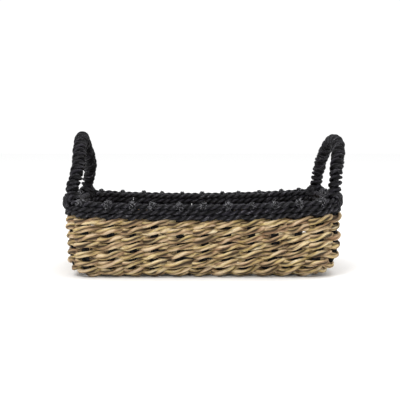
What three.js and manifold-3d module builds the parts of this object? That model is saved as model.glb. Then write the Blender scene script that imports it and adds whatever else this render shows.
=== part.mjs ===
// A small rectangular bread basket, twined by hand: dyed stakes cross under the base and stand up
// as the uprights of the walls, pairs of cord strands twist round them course by course, three black
// rim cords clamp the stake tops from outside and inside, and a bound hoop handle stands on each end.
// Millimetres, +Z up, the basket rests on Z = 0, X runs along its length, Y across it.
import * as THREE from "three";
import { mergeVertices } from "three/addons/utils/BufferGeometryUtils.js";
import Module from "manifold-3d";

const wasm = await Module();
wasm.setup();

// ---- driving dimensions -------------------------------------------------------------------------
const CLEARANCE = 0.3; // air left between neighbouring pieces
const FACET_ROOM = 0.1; // extra room where cords drawn with straight steps pass each other

const LENGTH = 196.8; // between the middles of the two end walls, at the rim
const WIDTH = 124; // between the middles of the two long walls, at the rim
const CORNER_RIM = 22; // corner radius of the wall's middle surface at the rim
const CORNER_BASE = 11; // and at the foot of the wall
const FLARE = { left: 3.5, right: 1, side: 3 }; // how far each wall leans out from foot to rim
const FOOT_ROUND = { left: 6, right: 15, side: 8 }; // radius where each wall turns into the base
const END_LIFT = { left: 3, right: 4.4 }; // the rim is drawn up this much at each end

const STAKE_RADIUS = 1.2;
const STRAND_RADIUS = 1.24;
const RIM_CORD_RADIUS = 1.7;

const LONG_SIDE_STAKES = 11; // uprights in each long wall
const END_STAKES = 7; // uprights in each end wall
const WALL_COURSES = 7;
const RIM_CORDS = 3;
const FIRST_COURSE_UP = 3.4; // from the foot of the wall up to the first course, past a stake's thickness
const FIRST_RIM_CORD_UP = 0.5; // air between the top course and the lowest rim cord
const BASE_STRAND = 1.8; // thickness of weave under the crossing stakes

const HANDLE_CORE_RADIUS = 2.5;
const HANDLE_WRAP_WALL = 2.3; // thickness of the cord binding on the core
const HANDLE_TANG_DEPTH = 24; // how far a handle's thinned end is pushed down into the wall
const FOLD_TOP = 0.9; // a stake's end turns over this far outside the stake
const FOLD_END = 0.6; // and stops this far past the middle of the rim cord
const HANDLES = {
  // rise of the core above its foot, outward lean of its top, outward bow of its legs, twist about
  // the upright axis, and the roundness of its arch: 2 is a half ellipse, less is more pointed
  left: { rise: 42.8, lean: -2.5, bow: -2.8, twist: 0.6, roundness: 1.5 },
  right: { rise: 38.8, lean: 7.5, bow: -1, twist: -0.3, roundness: 2.3 },
};
const LASHING_WALL = 1.5;
const LASHING_WIDTH = 8;
const CORNER_BOW = 0.9; // how far the inner rim cords bow towards a lashing in the corner

// ---- sizes that follow --------------------------------------------------------------------------
const STAKES = 2 * (LONG_SIDE_STAKES + END_STAKES);
const CROSS_Z = BASE_STRAND + CLEARANCE + STAKE_RADIUS;
const LONG_Z = CROSS_Z + 2 * STAKE_RADIUS + CLEARANCE; // lengthwise stakes lie on the crossing ones
const BASE_Z = (CROSS_Z + LONG_Z) / 2; // level of the wall's middle surface where it meets the base
const BASE_TOP = 2 * CROSS_Z;

const STRAND_OUT = STAKE_RADIUS + STRAND_RADIUS + 2 * CLEARANCE; // strand middle to stake middle
const STRAND_UP = STRAND_RADIUS + CLEARANCE / 2; // half the gap of two strands that pass each other
const COURSE_PITCH = 2 * (STRAND_UP + STRAND_RADIUS) + CLEARANCE + FACET_ROOM;
const RIM_OUT = STAKE_RADIUS + RIM_CORD_RADIUS + CLEARANCE;
const RIM_PITCH = 2 * RIM_CORD_RADIUS + CLEARANCE + FACET_ROOM;

// lengths measured up a long wall, from its foot to each course and to each rim cord
const courseUp = (i) => 2 * STAKE_RADIUS + FIRST_COURSE_UP + i * COURSE_PITCH;
const topOfWeave = courseUp(WALL_COURSES - 1) + STRAND_RADIUS + STRAND_UP;
const rimUp = (i) => topOfWeave + FIRST_RIM_CORD_UP + RIM_CORD_RADIUS + i * RIM_PITCH;
const WALL_UP = rimUp(RIM_CORDS - 1);
const RIM_Z = BASE_Z + FOOT_ROUND.side + WALL_UP - (Math.PI / 2) * FOOT_ROUND.side;

const mix = (a, b, t) => a + (b - a) * t;
const name = (...words) => words.join("_");

// ---- the wall's middle surface ------------------------------------------------------------------
// At share g of the way up a wall of a given foot radius and flare: how far it stands inside the
// rim, and its height.
function profile(g, round, flare) {
  const arc = (Math.PI / 2) * round;
  const up = g * (arc + RIM_Z - BASE_Z - round);
  const turn = Math.min(up, arc) / round;
  const z = BASE_Z + round * (1 - Math.cos(turn)) + Math.max(up - arc, 0);
  const leaned = flare * (1 - (z - BASE_Z) / (RIM_Z - BASE_Z));
  return { inset: round * (1 - Math.sin(turn)) + leaned, z };
}

// How far a stake lies from the middle of its long wall, round a quarter of the basket, and back
// again. The middle of a corner is halfway between the last side stake and the first end stake.
const CORNER_COUNT = LONG_SIDE_STAKES / 2;
function distanceAt(count, toCorner, quarter) {
  if (count < CORNER_COUNT) return (count / CORNER_COUNT) * toCorner;
  return toCorner + ((count - CORNER_COUNT) / (END_STAKES / 2)) * (quarter - toCorner);
}
function countAt(distance, toCorner, quarter) {
  if (distance < toCorner) return (distance / toCorner) * CORNER_COUNT;
  return CORNER_COUNT + ((distance - toCorner) / (quarter - toCorner)) * (END_STAKES / 2);
}

// The point at stake count k (0 in the middle of the front wall, rising towards +X) and share g of
// the way up: a rounded rectangle whose sides stand in by the profile of each wall.
function wallPoint(k, g) {
  const left = profile(g, FOOT_ROUND.left, FLARE.left);
  const right = profile(g, FOOT_ROUND.right, FLARE.right);
  const side = profile(g, FOOT_ROUND.side, FLARE.side);
  const middle = (left.inset - right.inset) / 2;
  const halfLength = (LENGTH - left.inset - right.inset) / 2;
  const halfWidth = WIDTH / 2 - side.inset;
  const corner = mix(CORNER_BASE, CORNER_RIM, g);
  const alongX = halfLength - corner;
  const alongY = halfWidth - corner;
  const quarterTurn = (Math.PI / 2) * corner;
  const quarter = alongX + quarterTurn + alongY;

  const lap = ((k % STAKES) + STAKES) % STAKES;
  const back = lap > STAKES / 2 ? -1 : 1; // the left half mirrors the right half in X
  const half = Math.min(lap, STAKES - lap);
  const rear = half > STAKES / 4 ? 1 : -1; // the rear quarter mirrors the front quarter in Y
  const rest = distanceAt(Math.min(half, STAKES / 2 - half), alongX + quarterTurn / 2, quarter);
  let x = Math.min(rest, alongX);
  let y = halfWidth;
  let slope = 0; // how far the wall has turned from facing Y to facing X
  if (rest > alongX) {
    slope = Math.min((rest - alongX) / corner, Math.PI / 2);
    x = alongX + corner * Math.sin(slope);
    y = alongY + corner * Math.cos(slope);
  }
  if (rest > alongX + quarterTurn) y = quarter - rest;
  const end = back > 0 ? right : left;
  const lift = (back > 0 ? END_LIFT.right : END_LIFT.left) * g * (x / halfLength) ** 2;
  const z = mix(side.z, end.z, Math.sin(slope) ** 2) + lift;
  return new THREE.Vector3(middle + back * x, rear * y, z);
}

// The same point moved out through the wall and up along it.
function onWall(k, g, out = 0, up = 0) {
  const step = 0.01;
  const low = Math.max(g - step, 0);
  const point = wallPoint(k, g);
  const along = wallPoint(k + step, g).sub(wallPoint(k - step, g)).normalize();
  const rising = wallPoint(k, low + 2 * step).sub(wallPoint(k, low)).normalize();
  const outward = along.clone().cross(rising).normalize();
  const upward = outward.clone().cross(along);
  return point.addScaledVector(outward, out).addScaledVector(upward, up);
}

// ---- sweeping a section along a path ------------------------------------------------------------
// A curve that is sampled evenly in its own parameter, so that its steps keep time with the stakes.
class Route extends THREE.Curve {
  constructor(pointAt) {
    super();
    this.pointAt = pointAt;
  }
  getPoint(t, target = new THREE.Vector3()) {
    return target.copy(this.pointAt(t));
  }
  getPointAt(t, target) {
    return this.getPoint(t, target);
  }
  getTangentAt(t, target) {
    return this.getTangent(t, target);
  }
}

function roundSection(radius, sides, hole = 0) {
  const ring = (r) =>
    Array.from({ length: sides }, (_, i) => {
      const a = ((i + 0.5) / sides) * 2 * Math.PI;
      return new THREE.Vector2(r * Math.cos(a), r * Math.sin(a));
    });
  const shape = new THREE.Shape(ring(radius));
  if (hole) shape.holes.push(new THREE.Path(ring(hole)));
  return shape;
}

const sweep = (shape, extrudePath, steps) =>
  new THREE.ExtrudeGeometry(shape, { steps, extrudePath, bevelEnabled: false });

// A curve through chosen points, with one step from each point to the next.
function sweepThrough(shape, points) {
  const spline = new THREE.CatmullRomCurve3(points, false, "centripetal");
  return sweep(shape, new Route((t) => spline.getPoint(t)), points.length - 1);
}

function solidOf(geometry) {
  const bare = geometry.index ? geometry.toNonIndexed() : geometry.clone();
  bare.deleteAttribute("normal");
  bare.deleteAttribute("uv");
  const merged = mergeVertices(bare, 1e-4);
  return new wasm.Manifold(
    new wasm.Mesh({
      numProp: 3,
      vertProperties: merged.attributes.position.array,
      triVerts: new Uint32Array(merged.index.array),
    }),
  );
}

function geometryOf(solid) {
  const mesh = solid.getMesh();
  return new THREE.BufferGeometry()
    .setAttribute("position", new THREE.BufferAttribute(mesh.vertProperties, 3))
    .setIndex(new THREE.BufferAttribute(mesh.triVerts, 1));
}

// ---- materials ----------------------------------------------------------------------------------
const dyedGrass = new THREE.MeshStandardMaterial({ color: 0x1b1a1d, roughness: 0.75 });
const naturalGrass = new THREE.MeshStandardMaterial({ color: 0xb89a68, roughness: 0.7 });
const rattan = new THREE.MeshStandardMaterial({ color: 0x9b7a4c, roughness: 0.6 });

const basket = new THREE.Group();
function addPiece(pieceName, geometry, material) {
  const mesh = new THREE.Mesh(geometry, material);
  mesh.name = pieceName;
  basket.add(mesh);
}

// ---- stakes -------------------------------------------------------------------------------------
const ARC_POINTS = 5; // points on a stake where it turns from the base into a wall

// Share of the way up at which the foot's arc ends, next to stake k.
function footEnd(k) {
  const x = wallPoint(k, 0).x;
  const onSide = Math.abs(wallPoint(k, 0).y) > WIDTH / 2 - FOOT_ROUND.side - CORNER_BASE / 2;
  const round = onSide ? FOOT_ROUND.side : x > 0 ? FOOT_ROUND.right : FOOT_ROUND.left;
  const arc = (Math.PI / 2) * round;
  return arc / (arc + RIM_Z - BASE_Z - round);
}

// One upright, from its top down to the base. A full one folds outwards over the top rim cord.
function upright(k, baseZ, top) {
  const points = [];
  if (top === 1) {
    const over = RIM_CORD_RADIUS + STAKE_RADIUS + CLEARANCE;
    points.push(onWall(k, 1, RIM_OUT + FOLD_END, over));
    points.push(onWall(k, 1, FOLD_TOP, over));
  }
  points.push(onWall(k, top));
  for (let i = ARC_POINTS - 1; i >= 0; i--) {
    const point = onWall(k, (footEnd(k) * i) / (ARC_POINTS - 1));
    if (i === 0) point.z = baseZ;
    if (baseZ > BASE_Z) point.z = Math.max(point.z, baseZ);
    points.push(point);
  }
  return points;
}

function stake(pieceName, k, far, baseZ, top = 1) {
  const points = [...upright(k, baseZ, top), ...upright(far, baseZ, top).reverse()];
  addPiece(pieceName, sweepThrough(roundSection(STAKE_RADIUS, 4), points), dyedGrass);
}

const sideReach = (LONG_SIDE_STAKES - 1) / 2;
for (let k = -sideReach; k <= sideReach; k++) {
  stake(name("stake_cross", k + sideReach + 1), k, STAKES / 2 - k, CROSS_Z);
}

// The outermost lengthwise stakes stop where the handle's ends are pushed in beside them.
const firstEndStake = sideReach + 1;
const handleFeet = [firstEndStake, firstEndStake + END_STAKES - 1];
const TANG_FOOT = 1 - HANDLE_TANG_DEPTH / WALL_UP;
for (let i = 0; i < END_STAKES; i++) {
  const k = firstEndStake + i;
  const cut = TANG_FOOT - (STAKE_RADIUS + CLEARANCE) / WALL_UP;
  stake(name("stake_long", i + 1), k, STAKES - k, LONG_Z, handleFeet.includes(k) ? cut : 1);
}

// ---- twined courses -----------------------------------------------------------------------------
// The two strands of a course wind round each other by half a turn from stake to stake, so each
// stake has one strand in front of it and one behind. A strand starts and ends behind a stake.
const END_GAP = 0.035; // share of a stake spacing left free at each end of a strand

function strand(course, phase) {
  const start = 4 * course + phase + 1;
  const laps = STAKES - 2 * END_GAP;
  const g = courseUp(course) / WALL_UP;
  const route = new Route((t) => {
    const k = start + END_GAP + t * laps;
    const turn = Math.PI * (k - phase);
    return onWall(k, g, STRAND_OUT * Math.cos(turn), STRAND_UP * Math.sin(turn));
  });
  return sweep(roundSection(STRAND_RADIUS, 4), route, 2 * STAKES);
}

for (let course = 0; course < WALL_COURSES; course++) {
  addPiece(name("wall_strand", course + 1, "a"), strand(course, 0), naturalGrass);
  addPiece(name("wall_strand", course + 1, "b"), strand(course, 1), naturalGrass);
}

// ---- rim cords ----------------------------------------------------------------------------------
// Stake counts at which a rim cord is given a point: closely round the corners, few elsewhere.
const CORNER_STEPS = 5;
function rimStops() {
  const alongX = LENGTH / 2 - CORNER_RIM;
  const corner = (Math.PI / 2) * CORNER_RIM;
  const quarter = alongX + corner + WIDTH / 2 - CORNER_RIM;
  const distances = [0, alongX / 2];
  for (let i = 0; i <= CORNER_STEPS; i++) distances.push(alongX + (corner * i) / CORNER_STEPS);
  const stops = distances.map((s) => countAt(s, alongX + corner / 2, quarter));
  const lap = [0, STAKES / 2].flatMap((turn) => [
    ...stops.map((k) => turn + k),
    turn + STAKES / 4,
    ...stops.map((k) => turn + STAKES / 2 - k),
  ]);
  return [...new Set(lap)];
}

function rimCord(i, out) {
  const start = STAKES / 2 + 3 * i + 0.5;
  const end = start + STAKES;
  const stops = [-STAKES, 0, STAKES, 2 * STAKES].flatMap((lap) => rimStops().map((k) => k + lap));
  const inside = stops.filter((k) => k > start + 0.2 && k < end - 0.2).sort((a, b) => a - b);
  const counts = [start + END_GAP, ...inside, end - END_GAP];
  const steps = counts.length - 1;
  const route = new Route((t) => {
    const at = Math.min(Math.floor(t * steps), steps - 1);
    return onWall(mix(counts[at], counts[at + 1], t * steps - at), rimUp(i) / WALL_UP, out);
  });
  return sweep(roundSection(RIM_CORD_RADIUS, 5), route, steps);
}

for (let i = 0; i < RIM_CORDS; i++) {
  addPiece(name("rim_cord_outer", i + 1), rimCord(i, RIM_OUT), dyedGrass);
  addPiece(name("rim_cord_inner", i + 1), rimCord(i, -RIM_OUT), dyedGrass);
}

// ---- base ---------------------------------------------------------------------------------------
// Between two lengthwise stakes lies one strip of twined base courses. The crossing stakes run
// through it in tunnels. The middle strip is twice as wide, and the middle stake lies in its top.
function baseStrip(y0, y1) {
  const outermost = Math.max(Math.abs(y0), Math.abs(y1)) === BASE_EDGE;
  const short = BESIDE + FACET_ROOM; // an outermost strip stops beside the corner stake
  const x0 = outermost ? wallPoint(-sideReach, 0).x + short : wallPoint(-STAKES / 4, 0).x + 1;
  const x1 = outermost ? wallPoint(sideReach, 0).x - short : wallPoint(STAKES / 4, 0).x - 1;
  const box = new THREE.BoxGeometry(x1 - x0, y1 - y0, BASE_TOP);
  let strip = solidOf(box.translate((x0 + x1) / 2, (y0 + y1) / 2, BASE_TOP / 2));
  const length = y1 - y0 + 2;
  for (let k = -sideReach; k <= sideReach; k++) {
    const x = wallPoint(k, 0).x;
    if (x < x0 || x > x1) continue;
    const tunnel = new THREE.CylinderGeometry(TUNNEL_RADIUS, TUNNEL_RADIUS, length, 6);
    strip = strip.subtract(solidOf(tunnel.translate(x, (y0 + y1) / 2, CROSS_Z)));
  }
  for (const y of stakeLines.filter((line) => line > y0 && line < y1)) {
    const groove = new THREE.BoxGeometry(x1 - x0 + 2, 2 * BESIDE, BASE_TOP);
    const floor = LONG_Z - BESIDE;
    strip = strip.subtract(solidOf(groove.translate((x0 + x1) / 2, y, floor + BASE_TOP / 2)));
  }
  return geometryOf(strip);
}

const BESIDE = STAKE_RADIUS + CLEARANCE; // from the middle of a stake to its neighbours in the base
const TUNNEL_RADIUS = BESIDE + FACET_ROOM;
const BASE_EDGE = Math.abs(wallPoint(0, 0).y) - BESIDE;
const stakeLines = Array.from({ length: END_STAKES }, (_, i) => wallPoint(firstEndStake + i, 0).y);
const dividing = stakeLines.filter((y) => Math.abs(y) > BESIDE); // all but the middle stake
const edges = [-BASE_EDGE, ...dividing.flatMap((y) => [y - BESIDE, y + BESIDE]), BASE_EDGE];
for (let i = 0; i <= dividing.length; i++) {
  addPiece(name("base_strip", i + 1), baseStrip(edges[2 * i], edges[2 * i + 1]), naturalGrass);
}

// ---- handles ------------------------------------------------------------------------------------
const RIM_TOP = RIM_CORD_RADIUS + CLEARANCE; // above the middle of the top rim cord
const LASHING_TOP = RIM_TOP + LASHING_WALL;
const WRAP_FOOT = LASHING_TOP + CLEARANCE;
const NECK_RADIUS = RIM_OUT - RIM_CORD_RADIUS - CLEARANCE / 2; // passes between the rim cords
const LAP = 0.6; // the parts of a handle's core run into each other by this much

// The hoop's middle line above the rim, t from 0 at the front foot to 1 at the rear foot.
function hoopRoute(end, form) {
  const sign = end === "right" ? 1 : -1;
  const front = end === "right" ? handleFeet[0] : STAKES - handleFeet[0];
  const foot = onWall(front, 1, 0, WRAP_FOOT);
  return new Route((t) => {
    const a = Math.PI * t;
    const power = 2 / form.roundness;
    const across = Math.sign(Math.cos(a)) * Math.abs(Math.cos(a)) ** power;
    const height = Math.max(Math.sin(a), 0) ** power;
    const midway = Math.sin(Math.PI * height) ** 2;
    const sideways = form.lean * height + (form.bow + form.twist * across) * midway;
    return new THREE.Vector3(
      foot.x + sign * sideways,
      foot.y * across,
      foot.z + form.rise * height,
    );
  });
}

// A straight upright rod at a foot, from depth below to height above the middle of the top cord.
function footRod(k, low, high, radius, sides) {
  const route = new Route((t) => {
    const up = mix(low, high, t);
    const point = onWall(k, 1 + Math.min(up, 0) / WALL_UP);
    return point.setZ(point.z + Math.max(up, 0));
  });
  return sweep(roundSection(radius, sides), route, 4);
}

// A strap over the rim at a handle foot: down outside, over the top, down inside, with a hole for
// the handle's core.
function lashing(k) {
  const out = RIM_OUT + RIM_CORD_RADIUS + CLEARANCE;
  const inside = out + CORNER_BOW;
  const low = -(RIM_CORDS - 1) * RIM_PITCH - RIM_CORD_RADIUS;
  const section = [
    [out + LASHING_WALL, low], [out + LASHING_WALL, LASHING_TOP],
    [-inside - LASHING_WALL, LASHING_TOP], [-inside - LASHING_WALL, low],
    [-inside, low], [-inside, RIM_TOP], [out, RIM_TOP], [out, low],
  ].map((p) => new THREE.Vector2(...p));
  const strap = new THREE.ExtrudeGeometry(new THREE.Shape(section), {
    depth: LASHING_WIDTH,
    bevelEnabled: false,
  });
  strap.translate(0, 0, -LASHING_WIDTH / 2);
  const origin = onWall(k, 1);
  const outward = onWall(k, 1, 1).sub(origin).setZ(0).normalize();
  const upward = new THREE.Vector3(0, 0, 1);
  const along = outward.clone().cross(upward);
  strap.applyMatrix4(new THREE.Matrix4().makeBasis(outward, upward, along).setPosition(origin));
  const bore = footRod(k, 0, LASHING_TOP + 1, HANDLE_CORE_RADIUS + CLEARANCE, 8);
  return geometryOf(solidOf(strap).subtract(solidOf(bore)));
}

const HOOP_STEPS = 22;
const BINDING_STARTS = 0.012; // share of the hoop left bare at each foot
for (const [end, form] of Object.entries(HANDLES)) {
  const route = hoopRoute(end, form);
  const feet = handleFeet.map((k) => (end === "right" ? k : STAKES - k));
  let core = solidOf(sweep(roundSection(HANDLE_CORE_RADIUS, 6), route, HOOP_STEPS));
  for (const k of feet) {
    const tang = footRod(k, -HANDLE_TANG_DEPTH, 2 * LAP, STAKE_RADIUS, 6);
    const neck = footRod(k, LAP, RIM_TOP + LAP, NECK_RADIUS, 6);
    const shoulder = footRod(k, RIM_TOP, WRAP_FOOT + LAP, HANDLE_CORE_RADIUS - CLEARANCE / 4, 6);
    core = core.add(solidOf(shoulder)).add(solidOf(neck)).add(solidOf(tang));
  }
  addPiece(name("handle_core", end), geometryOf(core), rattan);

  const bore = HANDLE_CORE_RADIUS + CLEARANCE;
  const wrapSection = roundSection(HANDLE_CORE_RADIUS + CLEARANCE + HANDLE_WRAP_WALL, 8, bore);
  const wrap = new Route((t) => route.getPoint(mix(BINDING_STARTS, 1 - BINDING_STARTS, t)));
  addPiece(name("handle_wrap", end), sweep(wrapSection, wrap, HOOP_STEPS), dyedGrass);
  feet.forEach((k, i) => {
    addPiece(name("handle_lashing", end, ["front", "rear"][i]), lashing(k), dyedGrass);
  });
}

export default basket;
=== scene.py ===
"""A small twined bread basket: natural grass walls, a black rim and two bound hoop handles."""
import math
import random

import bpy
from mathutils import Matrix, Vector


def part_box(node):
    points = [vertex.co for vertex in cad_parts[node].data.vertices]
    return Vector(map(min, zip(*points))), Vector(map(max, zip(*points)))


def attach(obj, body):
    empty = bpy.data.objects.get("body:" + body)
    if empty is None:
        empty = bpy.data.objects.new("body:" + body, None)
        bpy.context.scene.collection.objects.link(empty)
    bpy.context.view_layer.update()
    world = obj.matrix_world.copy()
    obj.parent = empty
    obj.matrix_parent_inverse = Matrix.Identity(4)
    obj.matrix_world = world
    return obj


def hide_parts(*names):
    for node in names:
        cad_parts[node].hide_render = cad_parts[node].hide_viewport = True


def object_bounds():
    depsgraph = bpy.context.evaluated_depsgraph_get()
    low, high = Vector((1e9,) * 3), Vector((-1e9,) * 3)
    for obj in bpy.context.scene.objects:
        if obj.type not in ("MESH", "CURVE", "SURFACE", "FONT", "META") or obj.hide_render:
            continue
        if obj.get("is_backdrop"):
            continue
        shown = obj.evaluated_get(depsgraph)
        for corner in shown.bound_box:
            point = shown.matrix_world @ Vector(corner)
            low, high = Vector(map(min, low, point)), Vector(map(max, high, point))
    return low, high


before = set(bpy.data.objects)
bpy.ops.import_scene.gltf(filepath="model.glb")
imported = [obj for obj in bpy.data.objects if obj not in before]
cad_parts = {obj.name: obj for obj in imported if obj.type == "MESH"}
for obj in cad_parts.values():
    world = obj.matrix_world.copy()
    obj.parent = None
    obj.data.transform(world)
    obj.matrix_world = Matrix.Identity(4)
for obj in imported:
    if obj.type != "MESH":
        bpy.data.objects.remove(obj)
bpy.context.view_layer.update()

MM = 0.001
TAU = 2 * math.pi


# ---- sizes of the basket, in millimetres ---------------------------------------------------------
def span(node):
    """Lowest and highest corner of a node, in millimetres."""
    low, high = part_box(node)
    return Vector(low) / MM, Vector(high) / MM


def count(start):
    return sum(name.startswith(start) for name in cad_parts)


CLEARANCE = 0.3
STAKE_RADIUS = 1.2
RIM_CORD_RADIUS = 1.7
CORNER_RIM, CORNER_BASE = 22, 11
FLARE = {"left": 3.5, "right": 1, "side": 3}
FOOT_ROUND = {"left": 6, "right": 15, "side": 8}
END_LIFT = {"left": 3, "right": 4.4}
FIRST_COURSE_UP = 5.8
COURSE_PITCH = 5.66
COURSE_SHIFTS = (-0.1, -0.35, -0.1, 0.1, -0.15, 0.35, 0.0)  # the weaver's uneven packing
RIM_PITCH = 3.8

COURSES = count("wall_strand") // 2
RIM_CORDS = count("rim_cord_outer")
SIDE_STAKES = count("stake_cross")
END_STAKES = count("stake_long")
STAKES = 2 * (SIDE_STAKES + END_STAKES)
SIDE_REACH = (SIDE_STAKES - 1) // 2
FIRST_END_STAKE = SIDE_REACH + 1
HANDLE_FEET = (FIRST_END_STAKE, FIRST_END_STAKE + END_STAKES - 1)

RIM_OUT = STAKE_RADIUS + RIM_CORD_RADIUS + CLEARANCE
rim_low, rim_high = span(f"rim_cord_outer_{RIM_CORDS}")
LENGTH = rim_high.x - rim_low.x - 2 * (RIM_OUT + RIM_CORD_RADIUS)
WIDTH = rim_high.y - rim_low.y - 2 * (RIM_OUT + RIM_CORD_RADIUS)
RIM_Z = rim_low.z + RIM_CORD_RADIUS
CROSS_Z = span("base_strip_4")[1].z / 2
LONG_Z = CROSS_Z + 2 * STAKE_RADIUS + CLEARANCE
BASE_Z = (CROSS_Z + LONG_Z) / 2
WALL_UP = RIM_Z - BASE_Z - FOOT_ROUND["side"] + (math.pi / 2) * FOOT_ROUND["side"]


def mix(a, b, t):
    return a + (b - a) * t


# ---- the wall's middle surface -------------------------------------------------------------------
def profile(g, foot, flare):
    """How far a wall stands inside the rim, and its height, at share g of the way up it."""
    arc = (math.pi / 2) * foot
    up = g * (arc + RIM_Z - BASE_Z - foot)
    turn = min(up, arc) / foot
    z = BASE_Z + foot * (1 - math.cos(turn)) + max(up - arc, 0)
    leaned = flare * (1 - (z - BASE_Z) / (RIM_Z - BASE_Z))
    return foot * (1 - math.sin(turn)) + leaned, z


CORNER_COUNT = SIDE_STAKES / 2  # the middle of a corner is halfway between two stakes


def distance_at(stakes_on, to_corner, quarter):
    """How far a stake lies from the middle of its long wall, round a quarter of the basket."""
    if stakes_on < CORNER_COUNT:
        return stakes_on / CORNER_COUNT * to_corner
    return to_corner + (stakes_on - CORNER_COUNT) / (END_STAKES / 2) * (quarter - to_corner)


def wall_point(k, g):
    """The point at stake count k, 0 in the middle of the front wall, and share g of the way up."""
    left, left_z = profile(g, FOOT_ROUND["left"], FLARE["left"])
    right, right_z = profile(g, FOOT_ROUND["right"], FLARE["right"])
    side, side_z = profile(g, FOOT_ROUND["side"], FLARE["side"])
    half_length = (LENGTH - left - right) / 2
    half_width = WIDTH / 2 - side
    corner = mix(CORNER_BASE, CORNER_RIM, g)
    along_x = half_length - corner
    along_y = half_width - corner
    quarter_turn = (math.pi / 2) * corner
    quarter = along_x + quarter_turn + along_y
    lap = k % STAKES
    back = -1 if lap > STAKES / 2 else 1
    half = min(lap, STAKES - lap)
    rear = 1 if half > STAKES / 4 else -1
    rest = distance_at(min(half, STAKES / 2 - half), along_x + quarter_turn / 2, quarter)
    x, y, slope = min(rest, along_x), half_width, 0.0
    if rest > along_x:
        slope = min((rest - along_x) / corner, math.pi / 2)
        x = along_x + corner * math.sin(slope)
        y = along_y + corner * math.cos(slope)
    if rest > along_x + quarter_turn:
        y = quarter - rest
    end, end_z = ("right", right_z) if back > 0 else ("left", left_z)
    z = mix(side_z, end_z, math.sin(slope) ** 2) + END_LIFT[end] * g * (x / half_length) ** 2
    return Vector(((left - right) / 2 + back * x, rear * y, z))


def wall_frame(k, g):
    """The point on the wall with its directions out through the wall and up along it."""
    step = 0.01
    low = max(g - step, 0)
    along = (wall_point(k + step, g) - wall_point(k - step, g)).normalized()
    rising = (wall_point(k, low + 2 * step) - wall_point(k, low)).normalized()
    outward = along.cross(rising).normalized()
    return wall_point(k, g), outward, outward.cross(along)


def on_wall(k, g, out=0.0, up=0.0):
    """The same point moved out through the wall and up along it."""
    point, outward, upward = wall_frame(k, g)
    return point + outward * out + upward * up


def course_up(i):
    return FIRST_COURSE_UP + i * COURSE_PITCH + COURSE_SHIFTS[i % len(COURSE_SHIFTS)]


def rim_up(i):
    return WALL_UP - (RIM_CORDS - 1 - i) * RIM_PITCH


# ---- what varies by hand -------------------------------------------------------------------------
class Drift:
    """A smooth random drift round the basket, the same on every run."""

    def __init__(self, seed, size, waves):
        dice = random.Random(seed)
        share = size / math.sqrt(len(waves))
        self.terms = [(dice.uniform(-1, 1) * share, n, dice.uniform(0, TAU)) for n in waves]

    def __call__(self, k):
        return sum(a * math.sin(TAU * n * k / STAKES + phase) for a, n, phase in self.terms)


class Route:
    """The middle line of one cord: points, the way it faces at each, its thickness, and a tone."""

    def __init__(self, tone):
        self.tone = tone
        self.points, self.facing, self.thick = [], [], []

    def add(self, point, facing, thick=1.0):
        self.points.append(point)
        self.facing.append(facing)
        self.thick.append(thick)


# ---- node trees ----------------------------------------------------------------------------------
class Wire:
    """One output of a node, with the arithmetic that the trees use."""

    def __init__(self, graph, socket):
        self.graph, self.socket = graph, socket

    def maths(self, operation, *values):
        return self.graph.node("ShaderNodeMath", {"operation": operation}, dict(enumerate(values)))

    def __add__(self, other):
        return self.maths("ADD", self, other)

    def __sub__(self, other):
        return self.maths("SUBTRACT", self, other)

    def __rsub__(self, other):
        return self.maths("SUBTRACT", other, self)

    def __mul__(self, other):
        return self.maths("MULTIPLY", self, other)

    def __truediv__(self, other):
        return self.maths("DIVIDE", self, other)

    __radd__ = __add__
    __rmul__ = __mul__

    def of(self, name):
        """Another output of the same node."""
        return Wire(self.graph, self.socket.node.outputs[name])

    def cos(self):
        return self.maths("COSINE", self)

    def sin(self):
        return self.maths("SINE", self)

    def between(self, low, high):
        """0 at low, 1 at high, smooth in between."""
        settings = {"interpolation_type": "SMOOTHSTEP"}
        return self.graph.node("ShaderNodeMapRange", settings, {0: self, 1: low, 2: high})


class Graph:
    """A node tree that is filled node by node."""

    def __init__(self, tree):
        self.tree = tree

    def node(self, kind, settings=None, inputs=None, out=0):
        made = self.tree.nodes.new(kind)
        for key, value in (settings or {}).items():
            if key == "stops":
                fill_ramp(made.color_ramp, value)
            else:
                setattr(made, key, value)
        for key, value in (inputs or {}).items():
            if isinstance(value, Wire):
                self.tree.links.new(value.socket, made.inputs[key])
            else:
                made.inputs[key].default_value = value
        return Wire(self, made.outputs[out])

    def vector(self, operation, *values, out=0):
        settings = {"operation": operation}
        return self.node("ShaderNodeVectorMath", settings, dict(enumerate(values)), out)

    def scaled(self, vector, factor):
        settings = {"operation": "SCALE"}
        return self.node("ShaderNodeVectorMath", settings, {"Vector": vector, "Scale": factor})


def fill_ramp(ramp, stops):
    """Gives a colour ramp its stops, each a place and a colour."""
    while len(ramp.elements) < len(stops):
        ramp.elements.new(0.5)
    for element, (place, colour) in zip(ramp.elements, stops):
        element.position = place
        element.color = colour


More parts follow.
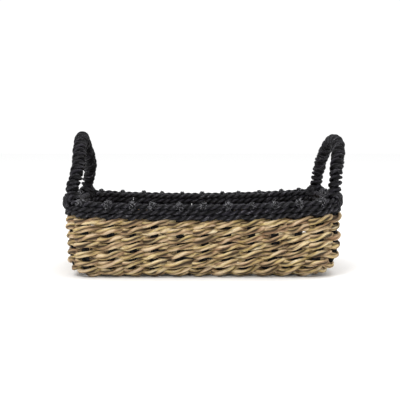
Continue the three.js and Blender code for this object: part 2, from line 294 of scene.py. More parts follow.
class GeometryTree(Graph):
    """A Geometry Nodes group with named inputs and one geometry output."""

    def __init__(self, name, inputs):
        super().__init__(bpy.data.node_groups.new(name, "GeometryNodeTree"))
        face = self.tree.interface
        face.new_socket("Geometry", in_out="INPUT", socket_type="NodeSocketGeometry")
        for label, kind in inputs.items():
            face.new_socket(label, in_out="INPUT", socket_type=f"NodeSocket{kind}")
        face.new_socket("Geometry", in_out="OUTPUT", socket_type="NodeSocketGeometry")
        self.given = self.node("NodeGroupInput")

    def store(self, geometry, name, kind, value):
        settings = {"data_type": kind, "domain": "POINT"}
        inputs = {"Geometry": geometry, "Name": name, "Value": value}
        return self.node("GeometryNodeStoreNamedAttribute", settings, inputs)

    def named(self, name, kind):
        settings = {"data_type": kind}
        return self.node("GeometryNodeInputNamedAttribute", settings, {"Name": name})

    def finish(self, geometry, material):
        """Ends the tree: instances made real, smooth faces, one material."""
        real = self.node("GeometryNodeRealizeInstances", None, {"Geometry": geometry})
        smooth = self.node("GeometryNodeSetShadeSmooth", None, {"Geometry": real})
        inputs = {"Geometry": smooth, "Material": material}
        done = self.node("GeometryNodeSetMaterial", None, inputs)
        end = self.tree.nodes.new("NodeGroupOutput")
        self.tree.links.new(done.socket, end.inputs[0])
        return self.tree


def cord_tree():
    """Lays twisted plies round every route it is given."""
    tree = GeometryTree("twisted cord", {
        "Radius": "Float", "Plies": "Int", "Twist length": "Float", "Ply share": "Float",
        "Flatness": "Float", "Point spacing": "Float", "Sides": "Int", "Unevenness": "Float",
        "Seed": "Float", "Material": "Material",
    })
    given = tree.given
    radius, plies, share = given.of("Radius"), given.of("Plies"), given.of("Ply share")
    seed, uneven = given.of("Seed"), given.of("Unevenness")
    lines = tree.node("GeometryNodeMeshToCurve", None, {"Mesh": given.of("Geometry")})
    settings = {"mode": "LENGTH"}
    lines = tree.node("GeometryNodeResampleCurve", settings,
                      {"Curve": lines, "Length": given.of("Point spacing")})
    copies = tree.node("GeometryNodeDuplicateElements", {"domain": "SPLINE"},
                       {"Geometry": lines, "Amount": plies})
    length = tree.node("GeometryNodeSplineParameter", out="Length")
    plied = tree.store(copies, "ply", "FLOAT", copies.of("Duplicate Index"))
    plied = tree.store(plied, "along", "FLOAT", length)
    plied = tree.store(plied, "axis", "FLOAT_VECTOR", tree.node("GeometryNodeInputPosition"))

    ply, along, thick = (tree.named(n, "FLOAT") for n in ("ply", "along", "thick"))
    tone = tree.named("tone", "FLOAT")
    place = tree.node("ShaderNodeCombineXYZ", None,
                      {0: along * 90, 1: ply * 7.3 + seed, 2: tone * 41})
    wobble = tree.node("ShaderNodeTexNoise", {"noise_dimensions": "3D"},
                       {"Vector": place, "Scale": 1.0, "Detail": 1.0})
    uneven_by = (wobble - 0.5) * uneven
    turn = (along / given.of("Twist length") + ply / plies) * TAU + uneven_by * 3 + tone * 9
    facing = tree.vector("NORMALIZE", tree.named("facing", "FLOAT_VECTOR"))
    tangent = tree.node("GeometryNodeInputTangent")
    across = tree.vector("NORMALIZE", tree.vector("CROSS_PRODUCT", facing, tangent))
    orbit = radius * thick * (1 - share)
    offset = tree.vector(
        "ADD",
        tree.scaled(facing, turn.cos() * orbit * given.of("Flatness")),
        tree.scaled(across, turn.sin() * orbit),
    )
    placed = tree.node("GeometryNodeSetPosition", None, {"Geometry": plied, "Offset": offset})
    ply_radius = radius * share * thick * (1 + uneven_by * 1.2)

    circle = tree.node("GeometryNodeCurvePrimitiveCircle", None,
                       {"Resolution": given.of("Sides"), "Radius": 1.0})
    circle = tree.store(circle, "around", "FLOAT_VECTOR", tree.node("GeometryNodeInputPosition"))
    mesh = tree.node("GeometryNodeCurveToMesh", None, {
        "Curve": placed, "Profile Curve": circle, "Scale": ply_radius, "Fill Caps": True})
    away = tree.vector("DISTANCE", tree.node("GeometryNodeInputPosition"),
                       tree.named("axis", "FLOAT_VECTOR"), out="Value")
    # depth: distance from the cord's axis; the finishes use it for painted crease shade and painted
    # ridge highlights
    mesh = tree.store(mesh, "depth", "FLOAT", away / (radius * thick))
    return tree.finish(mesh, given.of("Material"))


def fuzz_tree():
    """Scatters short bent fibres over a surface and leaves only the fibres."""
    tree = GeometryTree("loose fibres", {
        "Density": "Float", "Length": "Float", "Thickness": "Float", "Lift": "Float",
        "Seed": "Int", "Material": "Material",
    })
    given = tree.given
    points = tree.node("GeometryNodeDistributePointsOnFaces", None, {
        "Mesh": given.of("Geometry"), "Density": given.of("Density"), "Seed": given.of("Seed")})
    bend = tree.node("GeometryNodeCurveQuadraticBezier", None, {
        "Resolution": 4, "Start": (0, 0, 0), "Middle": (0.35, 0.1, 0.75), "End": (1, -0.15, 0.45)})
    thin = tree.node("GeometryNodeSplineParameter", out="Factor")
    round_ = tree.node("GeometryNodeCurvePrimitiveCircle", None, {
        "Resolution": 3, "Radius": given.of("Thickness") / given.of("Length")})
    hair = tree.node("GeometryNodeCurveToMesh", None, {
        "Curve": bend, "Profile Curve": round_, "Scale": 1.15 - thin, "Fill Caps": True})
    spin = tree.node("FunctionNodeRandomValue", {"data_type": "FLOAT"},
                     {2: 0.0, 3: TAU, "Seed": given.of("Seed")}, out=1)
    size = tree.node("FunctionNodeRandomValue", {"data_type": "FLOAT"},
                     {2: 0.4, 3: 1.0, "Seed": 5}, out=1)
    turned = tree.node("FunctionNodeRotateRotation", {"rotation_space": "LOCAL"}, {
        "Rotation": points.of("Rotation"),
        "Rotate By": tree.node("FunctionNodeAxisAngleToRotation", None,
                               {"Axis": (0, 0, 1), "Angle": spin})})
    grow = size * given.of("Length")
    scale = tree.node("ShaderNodeCombineXYZ", None, {0: grow, 1: grow, 2: grow * given.of("Lift")})
    hairs = tree.node("GeometryNodeInstanceOnPoints", None, {
        "Points": points, "Instance": hair, "Rotation": turned, "Scale": scale})
    return tree.finish(hairs, given.of("Material"))


def grown(name, source, tree, values):
    """Runs a tree on a mesh and keeps the result as a plain mesh object."""
    maker = bpy.data.objects.new(name + "_maker", source)
    bpy.context.scene.collection.objects.link(maker)
    modifier = maker.modifiers.new("grow", "NODES")
    modifier.node_group = tree
    for item in tree.interface.items_tree:
        if item.in_out == "INPUT" and item.name in values:
            modifier[item.identifier] = values[item.name]
    depsgraph = bpy.context.evaluated_depsgraph_get()
    mesh = bpy.data.meshes.new_from_object(maker.evaluated_get(depsgraph))
    bpy.data.objects.remove(maker)
    mesh.name = name
    piece = bpy.data.objects.new(name, mesh)
    bpy.context.scene.collection.objects.link(piece)
    return piece


def chains(name, routes):
    """A mesh of bare edges, one chain for each route."""
    mesh = bpy.data.meshes.new(name)
    points, edges, facing, thick, tone = [], [], [], [], []
    for route in routes:
        first = len(points)
        points += [tuple(p * MM) for p in route.points]
        facing += [c for f in route.facing for c in f]
        thick += route.thick
        tone += [route.tone] * len(route.points)
        edges += [(i, i + 1) for i in range(first, len(points) - 1)]
    mesh.from_pydata(points, edges, [])
    mesh.attributes.new("facing", "FLOAT_VECTOR", "POINT").data.foreach_set("vector", facing)
    mesh.attributes.new("thick", "FLOAT", "POINT").data.foreach_set("value", thick)
    mesh.attributes.new("tone", "FLOAT", "POINT").data.foreach_set("value", tone)
    return mesh


# ---- finishes ------------------------------------------------------------------------------------
def paint(code):
    """A colour written as in a paint chart, as linear values."""
    parts = [int(code[i:i + 2], 16) / 255 for i in (0, 2, 4)]
    linear = [c / 12.92 if c < 0.04045 else ((c + 0.055) / 1.055) ** 2.4 for c in parts]
    return (*linear, 1.0)


class Finish(Graph):
    """A material with one Principled shader."""

    def __init__(self, name):
        self.material = bpy.data.materials.new(name)
        self.material.use_nodes = True
        super().__init__(self.material.node_tree)
        self.tree.nodes.clear()
        self.shader = self.tree.nodes.new("ShaderNodeBsdfPrincipled")
        output = self.tree.nodes.new("ShaderNodeOutputMaterial")
        self.tree.links.new(self.shader.outputs[0], output.inputs[0])

    def set(self, **values):
        for key, value in values.items():
            socket = self.shader.inputs[key.replace("_", " ")]
            if isinstance(value, Wire):
                self.tree.links.new(value.socket, socket)
            else:
                socket.default_value = value

    def attribute(self, name, out="Fac"):
        return self.node("ShaderNodeAttribute", {"attribute_name": name}, None, out)

    def noise(self, vector, scale, detail=2.0):
        settings = {"noise_dimensions": "3D"}
        return self.node("ShaderNodeTexNoise", settings,
                         {"Vector": vector, "Scale": scale, "Detail": detail})

    def blend(self, factor, a, b, kind="MIX"):
        settings = {"data_type": "RGBA", "blend_type": kind}
        return self.node("ShaderNodeMix", settings, {0: factor, 6: a, 7: b}, out=2)

    def ramp(self, value, stops):
        return self.node("ShaderNodeValToRGB", {"stops": stops}, {0: value})

    def fibre_place(self, stretch):
        """Where a point is on its ply: round it in X and Y, and along it in Z, stretched."""
        around = self.attribute("around", "Vector")
        split = self.node("ShaderNodeSeparateXYZ", None, {0: around})
        shift = self.attribute("ply") * 3.7 + self.attribute("tone") * 29
        along = self.attribute("along") * (1000 / stretch) + shift
        return self.node("ShaderNodeCombineXYZ", None, {0: split, 1: split.of("Y"), 2: along})

    def bumps(self, height, strength, distance):
        inputs = {"Height": height, "Strength": strength, "Distance": distance}
        return self.node("ShaderNodeBump", None, inputs)


def natural_finish():
    """Dry grass: tan, straw yellow and pinkish brown lengths, fine fibres, painted shade in the
    creases between plies and a painted highlight on their ridges.
    """
    finish = Finish("natural_grass")
    fibres = finish.noise(finish.fibre_place(9), 5.0, 3.0)
    lengths = finish.noise(finish.fibre_place(14), 0.75, 1.0)
    strips = finish.noise(finish.fibre_place(30), 1.9, 1.0)
    base = finish.ramp(lengths, [
        (0.3, paint("A4805F")), (0.4, paint("B99B76")), (0.5, paint("C5AB80")),
        (0.58, paint("BFA661")), (0.66, paint("D2BC8C")), (0.74, paint("E2D3B0"))])
    base = finish.blend(strips.between(0.52, 0.68) * 0.5, base, paint("9C7650"))
    streaked = finish.blend(fibres.between(0.52, 0.3) * 0.75, base, paint("76552F"))
    slits = finish.noise(finish.fibre_place(12), 2.8, 1.0)
    streaked = finish.blend(slits.between(0.58, 0.68) * 0.85, streaked, paint("3A2814"))
    depth = finish.attribute("depth")
    # painted highlight: the outermost ridges of each ply blended towards pale cream
    streaked = finish.blend(depth.between(0.86, 1.0) * 0.35, streaked, paint("EADBBB"))
    # painted shade: creases between plies, close to the cord's axis, darkened towards deep brown
    crease_shade = 1 - depth.between(0.62, 0.96)
    colour = finish.blend(crease_shade * 0.95, streaked, paint("2C1D0D"))
    finish.set(Base_Color=colour, Roughness=0.55 + fibres * 0.25,
               Normal=finish.bumps(fibres, 0.55, 0.0006), Specular_IOR_Level=0.35)
    return finish.material


def black_finish(name, glints, purple):
    """Black dyed grass: near black, with grey fibre streaks that are partly worn fibres and partly
    painted glints, a painted highlight on the ridges, painted shade in the creases, and a faint
    cold tinge.
    """
    finish = Finish(name)
    fibres = finish.noise(finish.fibre_place(7), 5.5, 4.0)
    worn_and_glint_patches = finish.noise(finish.fibre_place(10), 1.6, 2.0)
    tinge = finish.noise(finish.fibre_place(40), 0.8, 1.0)
    base = finish.blend(tinge.between(0.45, 0.65) * purple, paint("0C0B0D"), paint("17121F"))
    # painted highlight: the outermost surface of each ply lightened to dark grey
    ridge_highlight = finish.attribute("depth").between(0.82, 1.02)
    base = finish.blend(ridge_highlight * 0.35, base, paint("333237"))
    # grey streaks: partly real worn grey fibres, partly painted glints standing in for sheen,
    # strongest on the ridges
    grey = fibres.between(0.52, 0.68) * worn_and_glint_patches.between(0.42, 0.6) * glints * (0.35 + ridge_highlight * 0.65)
    streaked = finish.blend(grey, base, paint("9A98A0"))
    # painted shade: creases between plies darkened to near black
    crease_shade = 1 - finish.attribute("depth").between(0.6, 0.97)
    colour = finish.blend(crease_shade * 0.97, streaked, paint("020203"))
    finish.set(Base_Color=colour, Roughness=0.75 - fibres * 0.3,
               Normal=finish.bumps(fibres, 0.8, 0.0007), Specular_IOR_Level=0.17)
    return finish.material


def hair_finish(name, low, high):
    finish = Finish(name)
    place = finish.node("ShaderNodeTexCoord", out="Object")
    tint = finish.ramp(finish.noise(place, 900, 0.0), [(0.3, paint(low)), (0.7, paint(high))])
    finish.set(Base_Color=tint, Roughness=0.6)
    return finish.material


# ---- yarns ---------------------------------------------------------------------------------------
CORD = cord_tree()
FUZZ = fuzz_tree()
NATURAL = natural_finish()
# the second value sets the share of painted grey glints, the third the cold tinge
BLACK = black_finish("black_grass", 0.75, 0.7)
BLACK_STAKE = black_finish("black_stake_grass", 0.35, 0.3)

YARNS = {
    "strand": {"Radius": 2.5 * MM, "Plies": 3, "Twist length": 42 * MM, "Ply share": 0.56,
               "Flatness": 0.75, "Point spacing": 1.1 * MM, "Sides": 8, "Unevenness": 0.95,
               "Material": NATURAL},
    "rim": {"Radius": 2.05 * MM, "Plies": 2, "Twist length": 11.5 * MM, "Ply share": 0.6,
            "Flatness": 1.0, "Point spacing": 0.8 * MM, "Sides": 7, "Unevenness": 0.5,
            "Material": BLACK},
    "stake": {"Radius": 3.05 * MM, "Plies": 3, "Twist length": 30 * MM, "Ply share": 0.5,
              "Flatness": 0.45, "Point spacing": 1.2 * MM, "Sides": 6, "Unevenness": 0.4,
              "Material": BLACK_STAKE},
    "base": {"Radius": 2.1 * MM, "Plies": 3, "Twist length": 24 * MM, "Ply share": 0.52,
             "Flatness": 0.7, "Point spacing": 1.2 * MM, "Sides": 6, "Unevenness": 0.5,
             "Material": NATURAL},
    "binding": {"Radius": 1.95 * MM, "Plies": 2, "Twist length": 17 * MM, "Ply share": 0.64,
                "Flatness": 0.8, "Point spacing": 0.8 * MM, "Sides": 7, "Unevenness": 0.5,
                "Material": BLACK},
    "lashing": {"Radius": 1.75 * MM, "Plies": 2, "Twist length": 11 * MM, "Ply share": 0.6,
                "Flatness": 0.8, "Point spacing": 0.7 * MM, "Sides": 7, "Unevenness": 0.55,
                "Material": BLACK},
    "knot": {"Radius": 1.9 * MM, "Plies": 3, "Twist length": 9 * MM, "Ply share": 0.5,
             "Flatness": 0.6, "Point spacing": 0.6 * MM, "Sides": 7, "Unevenness": 0.7,
             "Material": BLACK},
}


def keep(piece, slot, *nodes):
    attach(piece, "root")
    if nodes:
        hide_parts(*nodes)
    return piece


def twisted(name, yarn, seed, routes):
    return grown(name, chains(name + "_routes", routes), CORD, {**YARNS[yarn], "Seed": float(seed)})


# ---- routes of the weave -------------------------------------------------------------------------
STRAND_OUT = 2.7
STRAND_UP = 0.85
END_GAP = 0.035
FIRST_JOIN = 15  # the strands start and end behind the stakes of the rear wall
PER_STAKE = 14  # points on a strand from one stake to the next
RIM_PER_STAKE = 10  # and on a rim cord
FOOT_COURSE = {"up": 2.0, "rise": 0.5, "thick": 0.88}  # the thin course that closes the foot
CLIMB = 2.6
CLIMB_REACH = 1.6  # stakes to each side
INNER_LOWER = -1.6  # the inner rim cords lie lower than the outer ones
INNER_THICKER = 0.14
UPRIGHT_STEP = 0.02  # share of the way up from one point of an upright to the next
UNDER_STEPS = 12  # steps of a stake under the basket

stake_shift = Drift(3, 0.12, (3, 5, 8, 11, 13))  # the stakes stand a little unevenly


def climb(k):
    """The weave climbs by this much towards the right front corner, and squeezes the rim there."""
    return CLIMB * math.exp(-((k - FIRST_END_STAKE) / CLIMB_REACH) ** 2)


def course_route(seed, start, phase, up, rise=STRAND_UP, thick=1.0):
    """One strand of a twined course: in front of every second stake and behind the others."""
    route = Route(random.Random(seed * 2 + phase).random())
    sway = Drift(seed + 100, 0.5, (2, 3, 5, 7))
    swell = Drift(seed * 2 + phase + 200, 0.16, (4, 7, 9, 13, 16))
    push = Drift(seed * 2 + phase + 300, 0.25, (5, 9, 12))
    steps = STAKES * PER_STAKE
    for i in range(steps + 1):
        k = start + END_GAP + (STAKES - 2 * END_GAP) * i / steps
        turn = math.pi * (k - phase)
        swing = math.copysign(abs(math.cos(turn)) ** 0.8, math.cos(turn))
        lift = rise * (math.sin(turn) + 0.35 * math.sin(2 * turn))
        lift += climb(k % STAKES) * (up / WALL_UP) ** 2
        g = max(up + sway(k), 0) / WALL_UP
        point, outward, upward = wall_frame(k + stake_shift(k), g)
        point = point + outward * (STRAND_OUT * swing + push(k)) + upward * lift
        ends = min(1, 0.35 + min(i, steps - i) / 6)
        drawn_in = 1.06 - 0.18 * math.cos(turn) ** 2
        route.add(point, outward, thick * (1 + swell(k)) * ends * drawn_in)
    return route


def rim_route(seed, row, side):
    """One cord of the rim, pressed in a little between the stakes and sagging over the weave."""
    route = Route(random.Random(seed).random())
    sway = Drift(seed + 50, 0.25, (3, 5, 9))
    swell = Drift(seed + 60, 0.14, (5, 9, 14, 17))
    start = STAKES / 2 + 3 * row + 0.5
    steps = STAKES * RIM_PER_STAKE
    inner = side < 0
    dip = 0.55 if row == 0 else 0.15
    for i in range(steps + 1):
        k = start + END_GAP + (STAKES - 2 * END_GAP) * i / steps
        wave = math.cos(TAU * k)
        stagger = INNER_LOWER if inner else 0
        squeeze = 0.6 * climb(k % STAKES) * (1 - row / (RIM_CORDS - 1))
        g = (rim_up(row) + stagger + squeeze + sway(k) - dip * wave) / WALL_UP
        point, outward, upward = wall_frame(k + stake_shift(k), g)
        point = point + outward * side * (RIM_OUT - 0.35 + 0.25 * wave)
        route.add(point, outward, 1 + swell(k) + 0.05 * wave + (INNER_THICKER if inner else 0))
    return route


def upright_points(k, base_z):
    """Points of one upright from the base to the top, each with the way it faces."""
    made = []
    for i in range(round(1 / UPRIGHT_STEP) + 1):
        g = UPRIGHT_STEP * i
        point, outward, _ = wall_frame(k + stake_shift(k), g)
        if g < UPRIGHT_STEP:
            point.z = base_z
        if base_z > BASE_Z:
            point.z = max(point.z, base_z)
        made.append((point, outward))
    return made


def stake_route(seed, k, far, base_z):
    """A stake from one rim, down its wall, under the basket and up the far wall."""
    route = Route(random.Random(seed).random())
    near_side = upright_points(k, base_z)[::-1]
    far_side = upright_points(far, base_z)
    for point, outward in near_side:
        route.add(point, outward)
    start, end = near_side[-1][0], far_side[0][0]
    for i in range(1, UNDER_STEPS):
        route.add(start.lerp(end, i / UNDER_STEPS), Vector((0, 0, -1)), 0.8)
    for point, outward in far_side:
        route.add(point, outward)
    return route


KNOT_PATH = (  # out from the wall and up from the top rim cord, in millimetres
    (0, -3.5), (0, 0), (0.3, 1.0), (1.4, 1.7), (3.0, 1.9), (4.6, 1.4), (5.3, 0.2),
)
KNOT_END_OUT = 5.4


def knot_route(seed, k):
    """A stake's end, folded out over the top rim cord and tucked down in front of it."""
    dice = random.Random(seed)
    route = Route(dice.random())
    drop = dice.uniform(-0.6, 1.6)
    lean = dice.uniform(-0.12, 0.12)
    path = [*KNOT_PATH, (KNOT_END_OUT, -drop)]
    for i, (out, up) in enumerate(path):
        at = k + stake_shift(k) + lean * i / len(path)
        point, outward, upward = wall_frame(at, 1)
        facing = outward if i in (0, 1, 6, 7) else (outward + upward).normalized()
        thick = 0.85 + 0.06 * i * dice.uniform(0.4, 1)
        route.add(point + outward * out + upward * up, facing, thick)
    return smoothed(route, 3)


def smoothed(route, rounds):
    """Halves every step and rounds the corners, as a soft cord does."""
    for _ in range(rounds):
        finer = Route(route.tone)
        last = len(route.points) - 1
        finer.add(route.points[0], route.facing[0], route.thick[0])
        for i in range(last):
            for t in (0.25, 0.75):
                finer.add(route.points[i].lerp(route.points[i + 1], t),
                          route.facing[i].lerp(route.facing[i + 1], t),
                          mix(route.thick[i], route.thick[i + 1], t))
        finer.add(route.points[last], route.facing[last], route.thick[last])
        route = finer
    return route


# ---- walls ---------------------------------------------------------------------------------------
wall_pieces = []
for course in range(COURSES):
    strands = [
        course_route(course, FIRST_JOIN + 2 * (course % 4) + phase, phase, course_up(course))
        for phase in (0, 1)
    ]
    piece = twisted(f"wall_course_{course + 1}", "strand", course, strands)
    keep(piece, "natural_strand", *[f"wall_strand_{course + 1}_{side}" for side in "ab"])
    wall_pieces.append(piece)

foot_strands = [
    course_route(40, FIRST_JOIN + 2 + phase, phase, **FOOT_COURSE) for phase in (0, 1)
]
keep(twisted("foot_course", "strand", 40, foot_strands), "natural_base")

rim_pieces = []
for face, side in (("outer", 1), ("inner", -1)):
    cords = [rim_route(70 + 10 * side + row, row, side) for row in range(RIM_CORDS)]
    piece = twisted(f"rim_rows_{face}", "rim", 3 + side, cords)
    keep(piece, "black_rim_cord", *[f"rim_cord_{face}_{row + 1}" for row in range(RIM_CORDS)])
    rim_pieces.append(piece)

# ---- stakes --------------------------------------------------------------------------------------
cross_routes = [
    stake_route(400 + k, k, STAKES / 2 - k, CROSS_Z) for k in range(-SIDE_REACH, SIDE_REACH + 1)
]
keep(twisted("cross_stakes", "stake", 11, cross_routes), "black_stake",
     *[f"stake_cross_{i + 1}" for i in range(SIDE_STAKES)])
end_counts = range(FIRST_END_STAKE, FIRST_END_STAKE + END_STAKES)
long_routes = [stake_route(500 + k, k, STAKES - k, LONG_Z) for k in end_counts]
keep(twisted("long_stakes", "stake", 12, long_routes), "black_stake",
     *[f"stake_long_{i + 1}" for i in range(END_STAKES)])

feet = [*HANDLE_FEET, *(STAKES - k for k in HANDLE_FEET)]
knots = [knot_route(600 + k, k) for k in range(STAKES) if k not in feet]
knot_piece = keep(twisted("rim_knots", "knot", 13, knots), "black_stake")

# ---- base ----------------------------------------------------------------------------------------
BASE_ROW = 5.6  # width of one twined row
BASE_OUT = 1.5  # how far a row runs past its strip
OUTERMOST_OUT = 6.5
BASE_STEPS = 150


def base_route(seed, y, x0, x1, phase):
    """One strand of a base course, over and under the crossing stakes."""
    route = Route(random.Random(seed).random())
    wobble = Drift(seed, 0.35, (3, 5, 9))
    stops = [wall_point(k, 0).x for k in range(-SIDE_REACH, SIDE_REACH + 1)]
    pitch = stops[SIDE_REACH + 1] - stops[SIDE_REACH]
    for i in range(BASE_STEPS + 1):
        x = mix(x0, x1, i / BASE_STEPS)
        k = (x - stops[SIDE_REACH]) / pitch
        turn = math.pi * (k - phase)
        z = CROSS_Z - 1.5 * math.cos(turn)
        corner = max(abs(x) - stops[-1], 0) ** 2 * 0.06 * min(abs(y) / stops[-1], 1)
        sideways = 1.25 * math.sin(turn) + wobble(k) - math.copysign(corner, y)
        route.add(Vector((x, y + sideways, z)), Vector((0, 0, -1)))
    return route


for strip in range(1, count("base_strip") + 1):
    low, high = span(f"base_strip_{strip}")
    number = round((high.y - low.y) / BASE_ROW)
    outermost = strip in (1, count("base_strip"))
    reach = OUTERMOST_OUT if outermost else BASE_OUT
    courses = [mix(low.y, high.y, (row + 0.5) / number) for row in range(number)]
    rows = [
        base_route(700 + strip * 10 + 2 * i + phase, y, low.x - reach, high.x + reach, phase)
        for i, y in enumerate(courses)
        for phase in (0, 1)
    ]
    keep(twisted(f"base_rows_{strip}", "base", strip, rows), "natural_base", f"base_strip_{strip}")

# ---- handles -------------------------------------------------------------------------------------
HOOPS = {
    "left": {"sign": -1, "lean": -2.5, "bow": -2.8, "twist": 0.6, "roundness": 1.5},
    "right": {"sign": 1, "lean": 7.5, "bow": -1, "twist": -0.3, "roundness": 2.3},
}
CORE_RADIUS = 2.5
LASHING_WALL = 1.5
LASHING_TOP = RIM_CORD_RADIUS + CLEARANCE + LASHING_WALL
WRAP_FOOT = LASHING_TOP + CLEARANCE
HOOP_STEPS = 400
BINDING_PITCH = 4.3
BINDING_RADIUS = 3.55
TURN_STEPS = 24  # points on one turn of the binding
ROD_EVERY = 8  # the rod takes every eighth point of its hoop

# crossed turns of a lashing: width along the rim, shift along it, half size out and up, middle up
LASHING_TURNS = (
    (4.6, 0.0, 4.2, 4.3, -0.5), (-4.6, 0.0, 4.6, 4.6, -0.6), (2.4, 2.0, 4.3, 4.7, -0.8),
    (-2.4, -2.0, 4.5, 4.7, -0.9), (1.0, 4.7, 4.1, 4.2, -0.7), (-1.0, -4.7, 4.1, 4.2, -0.7),
    (3.8, -1.0, 4.7, 4.9, -1.0), (0.6, 0.0, 2.2, 3.4, -0.4),
)
LASHING_STEPS = 64
LASHING_START = -2.6  # angle at which a turn starts, low on the inside
COLLAR_TURNS = 2.2
COLLAR_STEPS = 90
COLLAR_RADIUS = 3.7
COLLAR_DROP = 2.6  # from the foot of the binding down to the collar's start
COLLAR_RISE = 3.4


def hoop_point(end, t):
    """The hoop's middle line, t from 0 at the front foot to 1 at the rear foot."""
    form = HOOPS[end]
    front = HANDLE_FEET[0] if end == "right" else STAKES - HANDLE_FEET[0]
    foot = on_wall(front, 1, 0, WRAP_FOOT)
    rise = span(f"handle_core_{end}")[1].z - CORE_RADIUS - foot.z
    power = 2 / form["roundness"]
    a = math.pi * t
    across = math.copysign(abs(math.cos(a)) ** power, math.cos(a))
    height = max(math.sin(a), 0) ** power
    midway = math.sin(math.pi * height) ** 2
    sideways = form["lean"] * height + (form["bow"] + form["twist"] * across) * midway
    return Vector((foot.x + form["sign"] * sideways, foot.y * across, foot.z + rise * height))


def hoop_samples(end):
    """Points along the hoop, each with the tangent and the length so far."""
    raw = [hoop_point(end, i / HOOP_STEPS) for i in range(HOOP_STEPS + 1)]
    made, length = [], 0.0
    for i in range(1, HOOP_STEPS):
        length += (raw[i] - raw[i - 1]).length
        made.append((raw[i], (raw[i + 1] - raw[i - 1]).normalized(), length))
    return made


def interpolated(samples, length):
    """The point and the tangent at a length along the samples."""
    for (a, ta, la), (b, tb, lb) in zip(samples, samples[1:]):
        if lb >= length:
            t = (length - la) / max(lb - la, 1e-6)
            return a.lerp(b, t), ta.lerp(tb, t).normalized()
    return samples[-1][0], samples[-1][1]


def binding_route(end, seed):
    """Close turns of cord round the hoop."""
    route = Route(random.Random(seed).random())
    samples = hoop_samples(end)
    total = samples[-1][2]
    swell = Drift(seed, 0.12, (3, 7, 11, 19))
    pitch = Drift(seed + 1, 0.35, (2, 5, 9))
    steps = int(total / BINDING_PITCH * TURN_STEPS)
    for i in range(steps + 1):
        share = i / steps
        centre, tangent = interpolated(samples, share * total)
        out = Vector((HOOPS[end]["sign"], 0, 0))
        out = (out - tangent * out.dot(tangent)).normalized()
        turn = TAU * share * total / BINDING_PITCH + pitch(share * STAKES)
        radial = out * math.cos(turn) + tangent.cross(out) * math.sin(turn)
        thick = 1 + swell(share * STAKES)
        route.add(centre + radial * BINDING_RADIUS, radial, thick)
    return route


def rod_route(end):
    """A thick cord that fills the inside of the binding."""
    route = Route(0.5)
    for centre, _, _ in hoop_samples(end)[::ROD_EVERY]:
        route.add(centre, Vector((HOOPS[end]["sign"], 0, 0)), 1.6)
    return route


def foot_frame(k):
    """A handle foot on the rim: its point, and the directions out, up and along."""
    point, outward, _ = wall_frame(k, 1)
    outward = Vector((outward.x, outward.y, 0)).normalized()
    up = Vector((0, 0, 1))
    return point, outward, up, outward.cross(up)


def lashing_routes(k, seed):
    """Crossed turns over the rim at a handle foot, and turns round the foot itself."""
    origin, outward, up, along = foot_frame(k)
    dice = random.Random(seed)
    made = []
    for width, shift, half_out, half_up, middle in LASHING_TURNS:
        route = Route(dice.random())
        for i in range(LASHING_STEPS + 1):
            a = TAU * i / LASHING_STEPS + LASHING_START
            c, s = math.cos(a), math.sin(a)
            out = half_out * math.copysign(abs(c) ** 0.7, c)
            rise = middle + half_up * math.copysign(abs(s) ** 0.7, s)
            point = origin + outward * out + up * rise + along * (width * s + shift)
            route.add(point, (outward * c + up * s).normalized())
        made.append(route)
    collar = Route(dice.random())
    for i in range(COLLAR_STEPS + 1):
        a = TAU * COLLAR_TURNS * i / COLLAR_STEPS
        radial = outward * math.cos(a) + along * math.sin(a)
        height = WRAP_FOOT - COLLAR_DROP + COLLAR_RISE * i / COLLAR_STEPS
        collar.add(origin + radial * COLLAR_RADIUS + up * height, radial, 0.95)
    made.append(collar)
    return made


lashing_pieces = []
binding_pieces = []
for number, end in enumerate(HOOPS):
    binding = twisted(f"handle_binding_{end}", "binding", 20 + number,
                      [binding_route(end, 30 + number), rod_route(end)])
    keep(binding, "black_handle_binding", f"handle_wrap_{end}", f"handle_core_{end}")
    binding_pieces.append(binding)
    for i, front in enumerate(("front", "rear")):
        k = HANDLE_FEET[i] if end == "right" else STAKES - HANDLE_FEET[i]
        seed = 50 + 2 * number + i
        lashing = twisted(f"handle_lashing_cord_{end}_{front}", "lashing", seed,
                          lashing_routes(k, seed))
        keep(lashing, "black_lashing", f"handle_lashing_{end}_{front}")
        lashing_pieces.append(lashing)

# ---- loose fibres --------------------------------------------------------------------------------
GREY_HAIR = hair_finish("grey_fibres", "1C1B1E", "77767C")
PALE_HAIR = hair_finish("pale_fibres", "4C4B50", "B8B7BC")
STRAW_HAIR = hair_finish("straw_fibres", "9C7F52", "DCCB9E")


def fuzzed(name, piece, slot, density, length, thickness, lift, material, seed):
    values = {"Density": density, "Length": length * MM, "Thickness": thickness * MM,
              "Lift": lift, "Seed": seed, "Material": material}
    return keep(grown(name, piece.data.copy(), FUZZ, values), slot)


fuzzed("knot_fibres", knot_piece, "black_stake", 4.6e5, 3.0, 0.12, 0.6, PALE_HAIR, 1)
fuzzed("rim_fibres", rim_pieces[0], "black_rim_cord", 4.5e4, 2.4, 0.09, 0.4, GREY_HAIR, 2)
for piece in binding_pieces + lashing_pieces:
    fuzzed(piece.name + "_fibres", piece, "black_lashing", 4.5e4, 2.0, 0.09, 0.5, GREY_HAIR, 3)
for i, piece in enumerate(wall_pieces):
    fuzzed(piece.name + "_fibres", piece, "natural_strand", 1.2e4, 2.4, 0.1, 0.45,
           STRAW_HAIR, 4 + i)

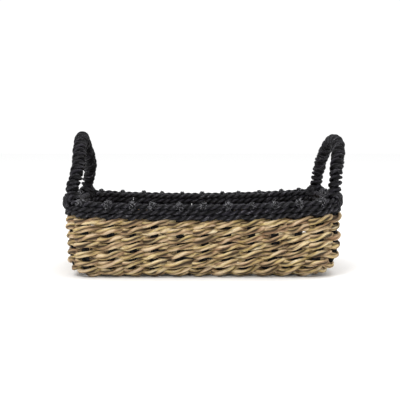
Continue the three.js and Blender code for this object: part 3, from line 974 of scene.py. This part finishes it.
# ---- stage, light and camera ---------------------------------------------------------------------
FLOOR_REACH = 4  # metres
CAMERA_PLACE = (-8, -696, 104.9)
CAMERA_DOWN, CAMERA_TURN = 4.31, -0.517  # degrees
CAMERA_LENS, CAMERA_SENSOR = 79.7, 36


def pale_floor():
    mesh = bpy.data.meshes.new("floor")
    signs = ((-1, -1), (1, -1), (1, 1), (-1, 1))
    corners = [(x * FLOOR_REACH, y * FLOOR_REACH, 0) for x, y in signs]
    mesh.from_pydata(corners, [], [(0, 1, 2, 3)])
    floor = bpy.data.objects.new("floor", mesh)
    bpy.context.scene.collection.objects.link(floor)
    finish = Finish("pale_paper")
    finish.set(Base_Color=(0.93, 0.93, 0.93, 1), Roughness=0.9, Specular_IOR_Level=0.0)
    mesh.materials.append(finish.material)
    floor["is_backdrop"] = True


def soft_light(name, place, target, size, power):
    lamp = bpy.data.lights.new(name, "AREA")
    lamp.shape = "DISK"
    lamp.size = size
    lamp.energy = power
    holder = bpy.data.objects.new(name, lamp)
    holder.location = place
    holder.rotation_euler = (Vector(target) - Vector(place)).to_track_quat("-Z", "Y").to_euler()
    bpy.context.scene.collection.objects.link(holder)


def white_room(strength):
    world = bpy.data.worlds.new("white_room")
    world.use_nodes = True
    background = world.node_tree.nodes["Background"]
    background.inputs["Color"].default_value = (1, 1, 1, 1)
    background.inputs["Strength"].default_value = strength
    bpy.context.scene.world = world


def viewpoint():
    camera = bpy.data.cameras.new("viewpoint")
    camera.sensor_width = CAMERA_SENSOR
    camera.lens = CAMERA_LENS
    holder = bpy.data.objects.new("viewpoint", camera)
    holder.location = Vector(CAMERA_PLACE) * MM
    holder.rotation_euler = (math.radians(90 - CAMERA_DOWN), 0, math.radians(CAMERA_TURN))
    bpy.context.scene.collection.objects.link(holder)
    bpy.context.scene.camera = holder


pale_floor()
white_room(1.05)
soft_light("key", (-0.5, -0.9, 1.1), (0, 0, 0.03), 0.7, 9)
soft_light("top", (0.3, 0.1, 1.2), (0, 0, 0.03), 0.8, 5)
viewpoint()
bpy.context.scene.view_settings.view_transform = "Standard"

low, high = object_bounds()
